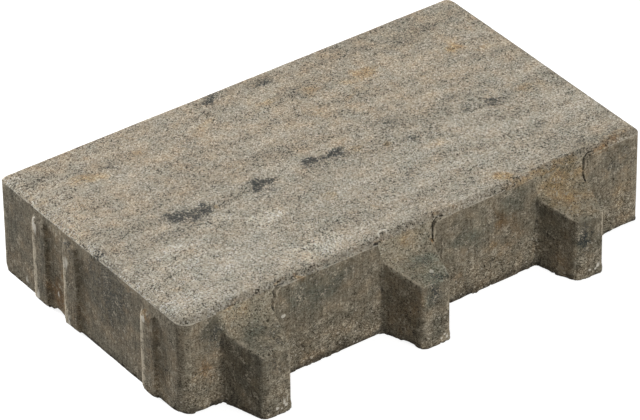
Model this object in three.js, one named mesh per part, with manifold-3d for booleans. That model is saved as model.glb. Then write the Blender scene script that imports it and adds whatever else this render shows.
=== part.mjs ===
// Concrete paving stone with spacer lugs, for paving laid with wide grass or gravel joints.
//
// The stone is one block of pressed concrete, so the model is one solid. Three tapered lugs on a long
// side hold the next row of stones off by the width of the joint, and three low ribs on an end keep the
// stones of one row a hair apart. A lug stops short of the walking face: its top is a sloping shelf,
// which curves up into the side above it, so that the joint filling covers it.
//
// Millimetres, +Z up. The origin is on the bedding plane, in the middle of the stone's outer box. The
// lugs point to -Y and the ribs to -X.

import * as THREE from 'three';
import { ConvexGeometry } from 'three/addons/geometries/ConvexGeometry.js';
import { mergeVertices } from 'three/addons/utils/BufferGeometryUtils.js';
import Module from 'manifold-3d';

// The block.
const LENGTH = 300;
const WIDTH = 170;
const HEIGHT = 60;
const CORNER_RADIUS = 5;
const CHAMFER_WIDTH = 3;
const CHAMFER_DROP = 2.7;

// The spacer lugs, in plan. The row of lugs lies off the middle of the side, so that in half bond the
// middle lug misses the joint between the two stones that it faces.
const LUG_COUNT = 3;
const FIRST_LUG_FROM_RIB_END = 40.5;
const LAST_LUG_FROM_PLAIN_END = 54.5;
const LUG_REACH = 26.5;
const LUG_ROOT_WIDTH = 32.5;
const LUG_FRONT_WIDTH = 17;
const LUG_ROOT_FILLET = 6;
const LUG_FRONT_RADIUS = 3.5;

// The lug's top, seen from the end of the stone. Depths are below the walking face, and the shelf falls
// from the side of the block to the front of the lug.
const SHELF_ROOT_DEPTH = 15;
const SHELF_FALL = 5.3;
const SHELF_ROOT_FILLET = 6;
const SHELF_FRONT_RADIUS = 1.5;

// The ribs on the end: one near the side with the lugs, and a pair nearer the plain side.
const RIB_FROM_LUG_SIDE = 30;
const RIB_FROM_PLAIN_SIDE = 39;
const RIB_PAIR_PITCH = 29;
const RIB_WIDTH = 14;
const RIB_REACH = 2.2;
const RIB_TOP_DEPTH = 7;
const RIB_TOP_FALL = 5;

// How far the lugs and ribs are sunk into the block before they are joined, and how far a cutting
// outline overshoots what it cuts.
const SUNK = 8;
const OVERSHOOT = 2;
// Straight steps in each rounded corner.
const ARC_STEPS = 8;

// The block's middle, and its two faces with spacers.
const BLOCK_X = RIB_REACH / 2;
const BLOCK_Y = LUG_REACH / 2;
const LUG_FACE_Y = BLOCK_Y - WIDTH / 2;
const RIB_FACE_X = BLOCK_X - LENGTH / 2;
const CHAMFER_FOOT_Z = HEIGHT - CHAMFER_DROP;

const wasm = await Module();
wasm.setup();

// A closed geometry as a solid that can be joined and cut.
function toSolid(geometry) {
  geometry.deleteAttribute('normal');
  geometry.deleteAttribute('uv');
  const merged = mergeVertices(geometry);
  return new wasm.Manifold(new wasm.Mesh({
    numProp: 3,
    vertProperties: new Float32Array(merged.attributes.position.array),
    triVerts: new Uint32Array(merged.index.array),
  }));
}

// A solid's faces as a geometry.
function toGeometry(solid) {
  const faces = solid.getMesh();
  const geometry = new THREE.BufferGeometry();
  geometry.setAttribute('position', new THREE.BufferAttribute(faces.vertProperties, 3));
  geometry.setIndex(new THREE.BufferAttribute(faces.triVerts, 1));
  geometry.computeVertexNormals();
  return geometry;
}

// A closed outline through corners given as x, y and the radius of the arc that rounds them. A radius
// of 0 leaves a corner sharp. An arc takes up at most half of each side that it meets.
function roundedOutline(corners) {
  const outline = new THREE.Shape();
  corners.forEach(([x, y, radius], i) => {
    const corner = new THREE.Vector2(x, y);
    const [beforeX, beforeY] = corners[(i + corners.length - 1) % corners.length];
    const [afterX, afterY] = corners[(i + 1) % corners.length];
    const back = new THREE.Vector2(beforeX, beforeY).sub(corner);
    const ahead = new THREE.Vector2(afterX, afterY).sub(corner);
    const room = Math.min(back.length(), ahead.length()) / 2;
    const clockwise = back.cross(ahead) > 0;
    back.normalize();
    ahead.normalize();
    const halfAngle = Math.acos(THREE.MathUtils.clamp(back.dot(ahead), -1, 1)) / 2;
    const tangent = Math.min(radius / Math.tan(halfAngle), room);
    const start = corner.clone().addScaledVector(back, tangent);
    if (i === 0) outline.moveTo(start.x, start.y);
    else outline.lineTo(start.x, start.y);
    if (tangent === 0) return;
    const end = corner.clone().addScaledVector(ahead, tangent);
    const inward = back.clone().add(ahead).normalize();
    const centre = corner.clone().addScaledVector(inward, tangent / Math.cos(halfAngle));
    const from = Math.atan2(start.y - centre.y, start.x - centre.x);
    const to = Math.atan2(end.y - centre.y, end.x - centre.x);
    outline.absarc(centre.x, centre.y, tangent * Math.tan(halfAngle), from, to, clockwise);
  });
  outline.closePath();
  return outline;
}

// An outline pushed square to its own plane. The three directions say where its x, its y and the push
// point, and origin is where its own 0, 0 comes to lie.
function push(outline, depth, origin, xTo, yTo, pushTo) {
  const geometry = new THREE.ExtrudeGeometry(outline, {
    depth,
    bevelEnabled: false,
    curveSegments: ARC_STEPS / 2,
  });
  const turned = new THREE.Matrix4().makeBasis(xTo, yTo, pushTo);
  geometry.applyMatrix4(turned.setPosition(origin));
  return toSolid(geometry);
}

const X = new THREE.Vector3(1, 0, 0);
const Y = new THREE.Vector3(0, 1, 0);
const Z = new THREE.Vector3(0, 0, 1);

// The block's outline, drawn in by the same distance all round, at the given height.
function blockLoop(drawnIn, z) {
  const x = LENGTH / 2 - drawnIn;
  const y = WIDTH / 2 - drawnIn;
  const radius = Math.max(CORNER_RADIUS - drawnIn, 0);
  const outline = roundedOutline([[-x, -y, radius], [x, -y, radius], [x, y, radius], [-x, y, radius]]);
  const points = outline.getPoints(ARC_STEPS / 2);
  return points.map((point) => new THREE.Vector3(point.x + BLOCK_X, point.y + BLOCK_Y, z));
}

// The block, with a chamfer round its walking face. It has no hollow, so its three loops span it.
function block() {
  return toSolid(new ConvexGeometry([
    ...blockLoop(0, 0),
    ...blockLoop(0, CHAMFER_FOOT_Z),
    ...blockLoop(CHAMFER_WIDTH, HEIGHT),
  ]));
}

// A lug from above: tapered, with hollow curves at its root and rounded corners at its front.
function lugPlan(x) {
  const root = LUG_ROOT_WIDTH / 2;
  const front = LUG_FRONT_WIDTH / 2;
  const rootCurve = root + LUG_ROOT_FILLET * 2;
  const frontY = LUG_FACE_Y - LUG_REACH;
  const sunkY = LUG_FACE_Y + SUNK;
  return roundedOutline([
    [x - rootCurve, sunkY, 0],
    [x - rootCurve, LUG_FACE_Y, 0],
    [x - root, LUG_FACE_Y, LUG_ROOT_FILLET],
    [x - front, frontY, LUG_FRONT_RADIUS],
    [x + front, frontY, LUG_FRONT_RADIUS],
    [x + root, LUG_FACE_Y, LUG_ROOT_FILLET],
    [x + rootCurve, LUG_FACE_Y, 0],
    [x + rootCurve, sunkY, 0],
  ]);
}

// A lug from the end, as y and z: a shelf that falls to the front and curves up into the side.
function lugProfile() {
  const insideY = LUG_FACE_Y + SUNK + OVERSHOOT;
  const frontY = LUG_FACE_Y - LUG_REACH;
  const outsideY = frontY - OVERSHOOT;
  const rootZ = HEIGHT - SHELF_ROOT_DEPTH;
  const frontZ = rootZ - SHELF_FALL;
  const ledgeZ = frontZ - SHELF_FRONT_RADIUS * 2;
  const topZ = rootZ + SHELF_ROOT_FILLET * 2;
  return roundedOutline([
    [outsideY, -OVERSHOOT, 0],
    [insideY, -OVERSHOOT, 0],
    [insideY, topZ, 0],
    [LUG_FACE_Y, topZ, 0],
    [LUG_FACE_Y, rootZ, SHELF_ROOT_FILLET],
    [frontY, frontZ, SHELF_FRONT_RADIUS],
    [frontY, ledgeZ, 0],
    [outsideY, ledgeZ, 0],
  ]);
}

function lug(x) {
  const reachX = LUG_ROOT_WIDTH / 2 + LUG_ROOT_FILLET * 2 + OVERSHOOT;
  const origin = new THREE.Vector3();
  const plan = push(lugPlan(x), CHAMFER_FOOT_Z, origin, X, Y, Z);
  const profile = push(lugProfile(), reachX * 2, new THREE.Vector3(x - reachX, 0, 0), Y, Z, X);
  return plan.intersect(profile);
}

// A rib is half an oval in plan. Its top slopes up and back to the end face of the block.
function rib(y) {
  const halfWidth = RIB_WIDTH / 2;
  const plan = new THREE.Shape();
  plan.moveTo(RIB_FACE_X + SUNK, y + halfWidth);
  plan.absellipse(RIB_FACE_X, y, RIB_REACH, halfWidth, Math.PI / 2, Math.PI * 1.5);
  plan.lineTo(RIB_FACE_X + SUNK, y - halfWidth);
  plan.closePath();
  const slope = RIB_TOP_FALL / RIB_REACH;
  const topZ = HEIGHT - RIB_TOP_DEPTH;
  const innerX = RIB_FACE_X + SUNK + OVERSHOOT;
  const outerX = RIB_FACE_X - RIB_REACH - OVERSHOOT;
  const profile = roundedOutline([
    [outerX, -OVERSHOOT, 0],
    [innerX, -OVERSHOOT, 0],
    [innerX, topZ, 0],
    [RIB_FACE_X, topZ, 0],
    [outerX, topZ + (outerX - RIB_FACE_X) * slope, 0],
  ]);
  const upright = push(plan, CHAMFER_FOOT_Z, new THREE.Vector3(), X, Y, Z);
  const beside = new THREE.Vector3(0, y + RIB_WIDTH, 0);
  return upright.intersect(push(profile, RIB_WIDTH * 2, beside, X, Z, Y.clone().negate()));
}

// The middles of the lugs, spread evenly between the first and the last.
function lugPlaces() {
  const first = RIB_FACE_X + FIRST_LUG_FROM_RIB_END;
  const last = RIB_FACE_X + LENGTH - LAST_LUG_FROM_PLAIN_END;
  const pitch = (last - first) / Math.max(LUG_COUNT - 1, 1);
  return Array.from({ length: LUG_COUNT }, (_, i) => first + i * pitch);
}

// The middles of the ribs.
function ribPlaces() {
  const pairY = LUG_FACE_Y + WIDTH - RIB_FROM_PLAIN_SIDE;
  return [LUG_FACE_Y + RIB_FROM_LUG_SIDE, pairY - RIB_PAIR_PITCH, pairY];
}

function pavingStone() {
  const spacers = [...lugPlaces().map(lug), ...ribPlaces().map(rib)];
  const solid = spacers.reduce((whole, spacer) => whole.add(spacer), block());
  const concrete = new THREE.MeshStandardMaterial({ color: 0x9c9384, roughness: 0.95, metalness: 0 });
  const stone = new THREE.Mesh(toGeometry(solid), concrete);
  stone.name = 'paving_stone';
  return stone;
}

const model = new THREE.Group();
model.add(pavingStone());

export default model;
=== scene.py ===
# %% [markdown]
# # Dressing a pressed concrete paving stone
#
# A paving stone like this one is made in a few seconds. Damp concrete is shaken into a steel mould, a thin
# layer of finer facing mix goes on top, and a heavy tamper presses both down. The stone is pushed out of the
# mould while it is still soft, so every side carries marks of that push: faint upright streaks on the smooth
# sides, a thin burr where the tamper met the mould, a torn and leaning scoop above each spacer lug, and
# crumbly bottom edges.
#
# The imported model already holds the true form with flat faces. Here it gets a skin: one dense mesh that is
# pulled onto a softer, worn version of the same form, and one concrete material that is worked out from
# where each point lies on the stone.

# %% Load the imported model
import itertools
import math

import bmesh
import bpy
import numpy as np
from mathutils import Matrix, Vector


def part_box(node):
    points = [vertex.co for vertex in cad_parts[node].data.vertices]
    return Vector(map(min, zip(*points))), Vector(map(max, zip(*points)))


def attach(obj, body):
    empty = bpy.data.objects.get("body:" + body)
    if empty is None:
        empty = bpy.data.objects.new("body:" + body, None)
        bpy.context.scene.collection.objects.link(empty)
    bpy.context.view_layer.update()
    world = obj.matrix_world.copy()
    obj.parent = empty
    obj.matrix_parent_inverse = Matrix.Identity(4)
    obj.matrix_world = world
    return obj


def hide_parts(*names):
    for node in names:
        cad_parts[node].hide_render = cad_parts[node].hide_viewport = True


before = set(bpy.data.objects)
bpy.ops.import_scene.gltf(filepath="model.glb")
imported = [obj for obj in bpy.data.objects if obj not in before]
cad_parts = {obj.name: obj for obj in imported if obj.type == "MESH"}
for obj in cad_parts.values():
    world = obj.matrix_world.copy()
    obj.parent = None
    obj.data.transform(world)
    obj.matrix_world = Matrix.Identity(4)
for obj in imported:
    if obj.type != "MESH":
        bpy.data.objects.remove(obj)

scene = bpy.context.scene
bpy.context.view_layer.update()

# %% [markdown]
# ## The stone's real sizes
#
# Blender works in metres, but a stone this small is easier to think of in millimetres, so the shape is
# worked out in millimetres and scaled once at the end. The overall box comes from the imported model. The
# other sizes are those of the mould.

# %% Sizes in millimetres
MM = 0.001
box_low, box_high = [np.array(corner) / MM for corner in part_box("paving_stone")]

LUG_REACH, RIB_REACH = 26.5, 2.2
body_low = box_low + [RIB_REACH, LUG_REACH, 0]
body_high = box_high
body_middle = (body_low + body_high) / 2
body_half = (body_high - body_low) / 2
ribbed_end, lug_side = body_low[:2]
top = body_high[2]

CHAMFER_WIDTH, CHAMFER_DROP = 3, 2.7
burr_height = top - CHAMFER_DROP
# Listed places are counted from this corner: x from the ribbed end, y from the lug side, z from the bottom.
near_corner = np.array([ribbed_end, lug_side, 0])

LUG_MIDDLES = ribbed_end + np.array([40.5, 143, 245.5])
LUG_ROOT_WIDTH, LUG_FRONT_WIDTH = 32.5, 17
SHELF_ROOT_DEPTH, SHELF_FALL = 15, 5.3
RIB_MIDDLES = lug_side + np.array([30, 102, 131])
RIB_WIDTH = 14
print("the block without lugs and ribs, in mm:", (body_half * 2).round(1))

# %% [markdown]
# ## Two kinds of randomness
#
# Concrete looks real when its unevenness has more than one character. Soft noise gives slow swells and
# stains. Strewn points give separate things: pits, grains and chips, each with its own place and size. Both
# read from a table of random numbers that starts from a fixed seed, so the stone is the same every time.

# %% Easing
def ease(value, start, end):
    """Goes from 0 to 1 as value goes from start to end, without a kink at either."""
    part = np.clip((value - start) / (end - start), 0, 1)
    return part * part * (3 - 2 * part)


def bell(value, width):
    """1 where the value is 0, falling off to both sides like a bell."""
    return np.exp(-((value / width) ** 2))


print("a quarter of the way, the ease has reached", ease(0.25, 0, 1))

# %% Soft noise
TABLE_SIDE = 64


def soft_noise(points, lump, seed):
    """Smooth noise from -1 to 1, with lumps `lump` mm across (one number, or one for each axis)."""
    table = np.random.default_rng(seed).random((TABLE_SIDE,) * 3)
    place = points / lump
    cell = np.floor(place).astype(int)
    part = place - cell
    part = part * part * (3 - 2 * part)
    total = np.zeros(len(points))
    for corner in itertools.product((0, 1), repeat=3):
        weight = np.where(corner, part, 1 - part).prod(axis=1)
        total += weight * table[tuple(((cell + corner) % TABLE_SIDE).T)]
    return total * 2 - 1


def layered_noise(points, lump, layers, seed):
    """Soft noise with finer and weaker layers on top of it."""
    strengths = 0.5 ** np.arange(layers)
    sheets = [
        strength * soft_noise(points, np.asarray(lump) * 0.5**layer, seed + layer)
        for layer, strength in enumerate(strengths)
    ]
    return sum(sheets) / strengths.sum()


swell = soft_noise(np.random.default_rng(1).random((1000, 3)) * 100, lump=10, seed=2)
print("soft noise runs from", swell.min().round(2), "to", swell.max().round(2))

# %% Strewn dents
SMALLEST_DENT = 0.4


def strewn_dents(points, spacing, size, share, seed):
    """Round dents, 1 deep in the middle and 0 at the rim, strewn about `spacing` mm apart.

    `size` is the widest radius in mm, and the smallest is SMALLEST_DENT of it. Only this share of the cells
    holds a dent."""
    random = np.random.default_rng(seed).random((TABLE_SIDE, TABLE_SIDE, TABLE_SIDE, 5))
    place = points / spacing
    cell = np.floor(place).astype(int)
    deepest = np.zeros(len(points))
    for step in itertools.product((-1, 0, 1), repeat=3):
        there = cell + step
        draw = random[tuple((there % TABLE_SIDE).T)]
        away = np.linalg.norm((there + draw[:, :3] - place) * spacing, axis=1)
        radius = size * (SMALLEST_DENT + (1 - SMALLEST_DENT) * draw[:, 3])
        dent = np.clip(1 - (away / radius) ** 2, 0, 1) * (draw[:, 4] < share)
        deepest = np.maximum(deepest, dent * radius / size)
    return deepest


print("the dents repeat after this many cells:", TABLE_SIDE)

# %% [markdown]
# ## The form as one distance
#
# There are two common ways to round and wear an edge: bevel it, or describe the whole form as a distance,
# negative inside the stone and positive outside, and blend the distances where two shapes meet. A bevel has
# one width all along. Blended distances let the same edge be crisp in one place and crumbled in another, and
# the hollow curve between a lug and the side comes by itself. So the form is written as distances here.

# %% Blending distances
def hollow_join(a, b, radius):
    """Two solids as one, with a hollow curve of this radius where they meet."""
    near_a = np.maximum(radius - a, 0)
    near_b = np.maximum(radius - b, 0)
    return np.maximum(radius, np.minimum(a, b)) - np.hypot(near_a, near_b)


def round_cut(a, b, radius):
    """What two solids share, with the edge between them rounded to this radius."""
    past_a = np.maximum(radius + a, 0)
    past_b = np.maximum(radius + b, 0)
    return np.minimum(-radius, np.maximum(a, b)) + np.hypot(past_a, past_b)


print("where two faces meet, a rounding of 1 mm takes off:", round_cut(0, 0, 1).round(2), "mm")

# %% [markdown]
# ## Block, lugs and ribs
#
# The block is a rounded rectangle in plan, cut off by its bottom, its top and the chamfer. Its four upright
# corners aren't equally sharp, because the mould's corners wear unevenly. A lug is a tapered wedge under a
# sloping shelf. A rib is half an oval.
#
# Above each lug the tamper has a shoulder that slides down the inside of the mould's opening. It drags the
# damp concrete, and leaves a wall that leans back a little behind the smooth side, with a step at each end.

# %% Seen from the nearest lug
def lug_frame(points):
    """Where each point is seen from its nearest lug: along the side, out of the side, and which lug."""
    which = np.abs(points[:, 0, None] - LUG_MIDDLES).argmin(axis=1)
    return points[:, 0] - LUG_MIDDLES[which], lug_side - points[:, 1], which


print("the lugs' middles, in mm from the ribbed end:", LUG_MIDDLES - ribbed_end)

# %% Scooped walls
# Where there are three numbers, there is one for each lug.
SCOOP_LEAN = 1.5
SCOOP_FOOT, SCOOP_TOP = 46, top + 3
SCOOP_LEFT, SCOOP_LEFT_SLANT = -16.1, 0.27
SCOOP_RIGHT = np.array([17, 17.2, 15.8])
SCOOP_RIGHT_WIGGLE = np.array([1.3, 0.3, 0.4])
SCOOP_STEP = 0.5
SCOOP_BEHIND = 20
PANEL_CORNER = 4.5


def past_panel(points):
    """How far a point is past the smooth panel to the right of its lug, whose upper corner is round."""
    along, _, which = lug_frame(points)
    wiggle = SCOOP_RIGHT_WIGGLE[which] * soft_noise(points, lump=[90, 90, 3.5], seed=5)
    past_side = SCOOP_RIGHT[which] + wiggle - along
    past_top = points[:, 2] - burr_height
    over = np.stack([past_side, past_top], axis=1) + PANEL_CORNER
    return np.hypot(*np.maximum(over, 0).T) + np.minimum(over.max(axis=1), 0) - PANEL_CORNER


def scoop_share(points):
    """1 where a point is in the band above a lug that the tamper's shoulder dragged, and 0 elsewhere."""
    along, out, which = lug_frame(points)
    left = SCOOP_LEFT - (points[:, 2] - SCOOP_FOOT) * SCOOP_LEFT_SLANT
    after_left = ease(along, left - SCOOP_STEP / 2, left + SCOOP_STEP / 2)
    before_right = ease(past_panel(points), -SCOOP_STEP / 2, SCOOP_STEP / 2)
    runs_out = ease(along, SCOOP_RIGHT[which] + PANEL_CORNER, SCOOP_RIGHT[which] + 1)
    return after_left * before_right * runs_out * (out > -SCOOP_BEHIND)


print("the scooped walls lean back this far, in mm:", SCOOP_LEAN)

# %% Grooves beside the scooped walls
GROOVE_WIDTH, GROOVE_FADES, GROOVE_IN_OUT = 0.9, 4, 3
GROOVE_FOOT = np.array([43, 43.5, 39])
GROOVE_HOOK_FROM, GROOVE_HOOK_TO = 3, 9


def groove_share(points):
    """1 in the narrow groove that runs down the right end of each scoop, and 0 elsewhere."""
    along, out, which = lug_frame(points)
    narrow = bell(past_panel(points) - GROOVE_WIDTH / 2, GROOVE_WIDTH / 2)
    above_foot = ease(points[:, 2], GROOVE_FOOT[which], GROOVE_FOOT[which] + GROOVE_FADES)
    right = SCOOP_RIGHT[which]
    runs_out = ease(along, right + GROOVE_HOOK_TO, right + GROOVE_HOOK_FROM)
    return narrow * above_foot * runs_out * (np.abs(out + 1) < GROOVE_IN_OUT) * (along > 0)


print("the grooves end this high, in mm:", GROOVE_FOOT)

# %% The block
CORNER_RADII = {"ribs and lugs": 7, "ribs": 3.5, "lugs": 4.5, "plain": 6}
WORN_CORNER, WORN_CORNER_HEIGHT = 5, 14
BURR_EDGE, CHAMFER_EDGE = 0.3, 0.5


def within_outline(points):
    """How far each point is inside the block's straight outline, seen from above."""
    return (body_half - np.abs(points - body_middle))[:, :2].min(axis=1)


def block(points):
    """The block with its chamfer, before the lugs and ribs are joined to it."""
    height = points[:, 2]
    set_back = SCOOP_LEAN * ease(height, SCOOP_FOOT, SCOOP_TOP) * scoop_share(points)
    x = points[:, 0] - body_middle[0]
    y = points[:, 1] - set_back - body_middle[1]
    near_lugs, near_ribs = y < 0, x < 0
    worn = CORNER_RADII["ribs and lugs"] + WORN_CORNER * ease(height, WORN_CORNER_HEIGHT, 0)
    radius = np.where(
        near_ribs,
        np.where(near_lugs, worn, CORNER_RADII["ribs"]),
        np.where(near_lugs, CORNER_RADII["lugs"], CORNER_RADII["plain"]),
    )
    over_x = np.abs(x) - body_half[0] + radius
    over_y = np.abs(y) - body_half[1] + radius
    corner = np.hypot(np.maximum(over_x, 0), np.maximum(over_y, 0))
    outline = corner + np.minimum(np.maximum(over_x, over_y), 0) - radius
    slope = outline * CHAMFER_DROP + (height - top) * CHAMFER_WIDTH + CHAMFER_WIDTH * CHAMFER_DROP
    chamfer = slope / math.hypot(CHAMFER_WIDTH, CHAMFER_DROP)
    return round_cut(round_cut(outline, chamfer, BURR_EDGE), height - top, CHAMFER_EDGE)


print("radii of the upright corners, in mm:", CORNER_RADII)

# %% The lugs
LEFT_CORNER_FOOT = np.array([2.6, 3, 5])
LEFT_CORNER_TOP = np.array([1.2, 1.4, 1.6])
RIGHT_CORNER = 2.6
LUG_TAPER = (LUG_ROOT_WIDTH - LUG_FRONT_WIDTH) / 2 / LUG_REACH
CORNER_WIDE_BELOW, CORNER_TIGHT_ABOVE = 8, 34
LUG_TURN, LUG_SET_BACK, LUG_SUNK = 0.05, 0.6, 8
SHELF_EDGE = 0.6
SHELF_DROP_BY_LUG = np.array([0, 0, 1.7])


def shelf_height(along, out, which):
    """How high the sloping top of a lug is, this far out of the side."""
    return top - SHELF_ROOT_DEPTH - SHELF_DROP_BY_LUG[which] - SHELF_FALL * out / LUG_REACH


def past_flank(along, out):
    """How far a point is outside the nearest flank of its lug."""
    return (np.abs(along) - LUG_ROOT_WIDTH / 2 + LUG_TAPER * out) / math.hypot(1, LUG_TAPER)


def lugs(points):
    """The three lugs, as wedges that start inside the block."""
    along, out, which = lug_frame(points)
    front = out - LUG_REACH + LUG_SET_BACK - LUG_TURN * along
    rise = ease(points[:, 2], CORNER_WIDE_BELOW, CORNER_TIGHT_ABOVE)
    left_corner = LEFT_CORNER_FOOT[which] * (1 - rise) + LEFT_CORNER_TOP[which] * rise
    corner = np.where(along < 0, left_corner, RIGHT_CORNER)
    shelf = points[:, 2] - shelf_height(along, out, which)
    wedge = round_cut(round_cut(past_flank(along, out), front, corner), shelf, SHELF_EDGE)
    return np.maximum(wedge, -LUG_SUNK - out)


print("the shelves are this high at the wall, in mm:", shelf_height(0, 0, np.arange(3)).round(1))

# %% The ribs
RIB_SQUARENESS, RIB_STEEP_SQUARENESS = 3.4, 6
RIB_CAP_FOOT = np.array([42, 45, 45.5])
RIB_CAP_LENGTH = 8.5


def rib_frame(points):
    """Where each point is seen from its nearest rib: out of the end, along the end, and which rib."""
    which = np.abs(points[:, 1, None] - RIB_MIDDLES).argmin(axis=1)
    return ribbed_end - points[:, 0], points[:, 1] - RIB_MIDDLES[which], which


def ribs(points):
    """The three low ribs on the end, each a flattened oval in plan under a cap like a bullet's nose."""
    out, along, which = rib_frame(points)
    over_foot = np.maximum(points[:, 2] - RIB_CAP_FOOT[which], 0) / RIB_CAP_LENGTH
    parts = [np.abs(out) / RIB_REACH, np.abs(along) * 2 / RIB_WIDTH, over_foot]
    power = np.where(along > 0, RIB_SQUARENESS, RIB_STEEP_SQUARENESS)
    scaled = sum(part**power for part in parts) ** (1 / power)
    return (scaled - 1) * RIB_REACH


print("the ribs' round caps end this high, in mm:", RIB_CAP_FOOT + RIB_CAP_LENGTH)

# %% Bits broken off the edges
BROKEN_EDGE = 0.3
# Each row is a place and the reach along x, y and z of a bit that broke out.
BROKEN_EDGES = [
    (0, 116.5, 0, 5, 5, 2.8),
    (-2.2, 131, 0, 2, 7, 1.1),
    (-2.2, 101, 0, 2, 6, 1.2),
    (12, 0, 0, 12, 1.6, 0.9),
    (288, 0, 0, 13, 2.6, 1.6),
    (131.5, -16.2, 0, 2.2, 5, 1.3),
    (124.7, 0.7, 58.1, 3.8, 0.9, 0.7),
]


def egg_distance(place, row):
    """How far each place is from a row's middle, where 1 is the row's reach along x, y and z."""
    return np.linalg.norm((place - row[:3]) / np.array(row[3:6]), axis=1)


def broken_edges(points):
    """The bits that broke off the edges, as egg shapes."""
    place = points - near_corner
    nearest = np.full(len(points), np.inf)
    for row in BROKEN_EDGES:
        nearest = np.minimum(nearest, (egg_distance(place, row) - 1) * min(row[3:]))
    return nearest


print("bits broken off the edges:", len(BROKEN_EDGES))

# %% The whole casting
SHELF_ROOT_CURVE = 3.2
LEFT_ROOT_CURVE = np.array([1.2, 2.2, 1.6])
RIGHT_ROOT_CURVE = 1.2
FLANK_FROM, FLANK_TO = 9, 14
BELOW_SHELF = 4
RIB_ROOT_CURVE, BOTTOM_EDGE = 0.4, 0.5


def root_curve(points):
    """The radius where a lug meets the block: wide over the shelf, tight at the two flanks."""
    along, out, which = lug_frame(points)
    at_left = ease(-along, FLANK_FROM, FLANK_TO)
    below_shelf = ease(shelf_height(along, out, which) - points[:, 2], 0, BELOW_SHELF)
    at_right = ease(along, FLANK_FROM, FLANK_TO) * below_shelf
    tighter = (SHELF_ROOT_CURVE - LEFT_ROOT_CURVE[which]) * at_left
    return SHELF_ROOT_CURVE - tighter - (SHELF_ROOT_CURVE - RIGHT_ROOT_CURVE) * at_right


def casting(points):
    """The whole stone as one distance, before its fine wear."""
    joined = hollow_join(block(points), lugs(points), root_curve(points))
    joined = hollow_join(joined, ribs(points), RIB_ROOT_CURVE)
    whole = round_cut(joined, -points[:, 2], BOTTOM_EDGE)
    return round_cut(whole, -broken_edges(points), BROKEN_EDGE)


corners = np.array([body_middle, body_low, [LUG_MIDDLES[1], box_low[1], 10]])
print("distances at the middle, a corner and a lug's front, in mm:", casting(corners).round(2))

# %% [markdown]
# ## Pulling a dense mesh onto the form
#
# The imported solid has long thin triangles, which can't carry wear. A voxel remesh turns it into an even
# mesh with points under a millimetre apart. Each point is then moved along the slope of the distance until
# the distance is zero, as one pulls clay onto a form. A few small pulls are enough.

# %% Helpers for meshes
def apply_modifier(thing, kind, **settings):
    """Adds a modifier to an object and keeps what it makes as the object's own mesh."""
    modifier = thing.modifiers.new(kind.lower(), kind)
    for name, value in settings.items():
        setattr(modifier, name, value)
    shaped = bpy.data.meshes.new_from_object(thing.evaluated_get(bpy.context.evaluated_depsgraph_get()))
    thing.modifiers.clear()
    thing.data = shaped
    return shaped


def read_points(mesh):
    """A mesh's points as rows of x, y and z in millimetres."""
    flat = np.empty(len(mesh.vertices) * 3)
    mesh.vertices.foreach_get("co", flat)
    return flat.reshape(-1, 3) / MM


def write_points(mesh, points):
    """Puts rows of x, y and z in millimetres back as a mesh's points."""
    mesh.vertices.foreach_set("co", (points * MM).ravel())
    mesh.update()


print("points of the cast part:", len(read_points(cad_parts["paving_stone"].data)))

# %% Remesh the cast part
FINE_STEP = 0.85

skin = bpy.data.objects.new("pressed_stone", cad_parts["paving_stone"].data.copy())
scene.collection.objects.link(skin)
solid = bmesh.new()
solid.from_mesh(skin.data)
bmesh.ops.remove_doubles(solid, verts=solid.verts, dist=1e-6)
solid.to_mesh(skin.data)
solid.free()
apply_modifier(skin, "REMESH", mode="VOXEL", voxel_size=FINE_STEP * MM)
print("points after the remesh:", len(skin.data.vertices))


# %% Halve the steps where the form is small
# How far the finer mesh goes on past the small features.
PAST_CHAMFER, BELOW_BURR, ABOVE_BOTTOM = 1.5, 2, 3
BEHIND_END, BESIDE_RIB = 1, 2
BEHIND_SIDE, BESIDE_LUG = 3, 8


def wants_detail(points):
    """Where the form has small features: the top and bottom edges, the ribs, and all round the lugs."""
    height = points[:, 2]
    along, out, _ = lug_frame(points)
    rim = within_outline(points) < CHAMFER_WIDTH + PAST_CHAMFER
    rim_edges = rim & ((height > burr_height - BELOW_BURR) | (height < ABOVE_BOTTOM))
    rib_gap = np.abs(points[:, 1, None] - RIB_MIDDLES).min(axis=1)
    near_rib = (points[:, 0] < ribbed_end + BEHIND_END) & (rib_gap < RIB_WIDTH / 2 + BESIDE_RIB)
    near_lug = (out > -BEHIND_SIDE) & (np.abs(along) < LUG_ROOT_WIDTH / 2 + BESIDE_LUG)
    return rim_edges | near_rib | near_lug


detail = wants_detail(read_points(skin.data))
mesh = bmesh.new()
mesh.from_mesh(skin.data)
fine_edges = [edge for edge in mesh.edges if all(detail[vertex.index] for vertex in edge.verts)]
bmesh.ops.subdivide_edges(mesh, edges=fine_edges, cuts=1, use_grid_fill=True)
mesh.to_mesh(skin.data)
mesh.free()
print("points with the finer places:", len(skin.data.vertices))


# %% Pull the points onto the form
PULLS, GENTLEST_SLOPE = 4, 0.3


def slope_of(distance, points, step=0.04):
    """The direction in which the distance grows, and how fast."""
    slope = np.empty_like(points)
    for axis in range(3):
        shift = np.zeros(3)
        shift[axis] = step
        slope[:, axis] = (distance(points + shift) - distance(points - shift)) / (2 * step)
    return slope


points = read_points(skin.data)
for _ in range(PULLS):
    slope = slope_of(casting, points)
    steepness = np.maximum((slope**2).sum(axis=1), GENTLEST_SLOPE)
    points -= (casting(points) / steepness)[:, None] * slope
normals = slope_of(casting, points)
normals /= np.maximum(np.linalg.norm(normals, axis=1), 1e-6)[:, None]
print("farthest point from the form, in mm:", np.abs(casting(points)).max().round(3))

# %% [markdown]
# ## Wear and relief
#
# Now the skin gets what the mould and the years gave it. One could sculpt that by hand, but each kind of
# mark belongs to one part of the stone. So each is a depth in millimetres times a share that says where it
# applies.

# %% Where is what
NEAR_SIDE, PANEL_FOOT, PANEL_WIDTH = 3, 44, 30


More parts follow.
